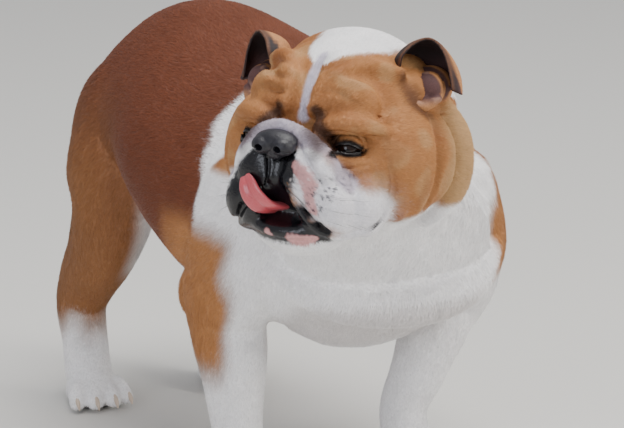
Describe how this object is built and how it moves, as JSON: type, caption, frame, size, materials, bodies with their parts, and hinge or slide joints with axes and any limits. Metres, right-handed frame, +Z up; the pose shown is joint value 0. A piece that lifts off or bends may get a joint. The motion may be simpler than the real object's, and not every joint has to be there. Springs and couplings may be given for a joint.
{
  "type": "english bulldog",
  "caption": "Life-size standing English bulldog, tan and white, head turned to its right with the tongue curled over the lip; a still model of the whole animal.",
  "frame": {"origin": "On the floor under the middle of the dog's bounding box, so that all four soles rest at z = 0.", "axes": "+Z up. The body lies along Y with the chest towards -Y and the tail towards +Y. The dog's left side is +X, and its head is turned towards -X, its right."},
  "size_m": [0.3398, 0.7066, 0.4578],
  "materials": {
    "torso": "short flat coat",
    "neck": "short flat coat",
    "head": "short flat coat",
    "nose": "moist leather",
    "tongue": "moist",
    "eye": "wet gloss",
    "ear": "short flat coat",
    "leg": "short flat coat",
    "paw": "short flat coat, horn claws",
    "tail": "short flat coat"
  },
  "bodies": {
    "root": {"torso": "torso", "neck": "neck", "head": "head", "nose": "nose", "tongue": "tongue", "eye_left": "eye", "eye_right": "eye", "ear_left": "ear", "ear_right": "ear", "foreleg_left": "leg", "foreleg_right": "leg", "hindleg_left": "leg", "hindleg_right": "leg", "forepaw_left": "paw", "forepaw_right": "paw", "hindpaw_left": "paw", "hindpaw_right": "paw", "tail": "tail"}
  },
  "joints": []
}
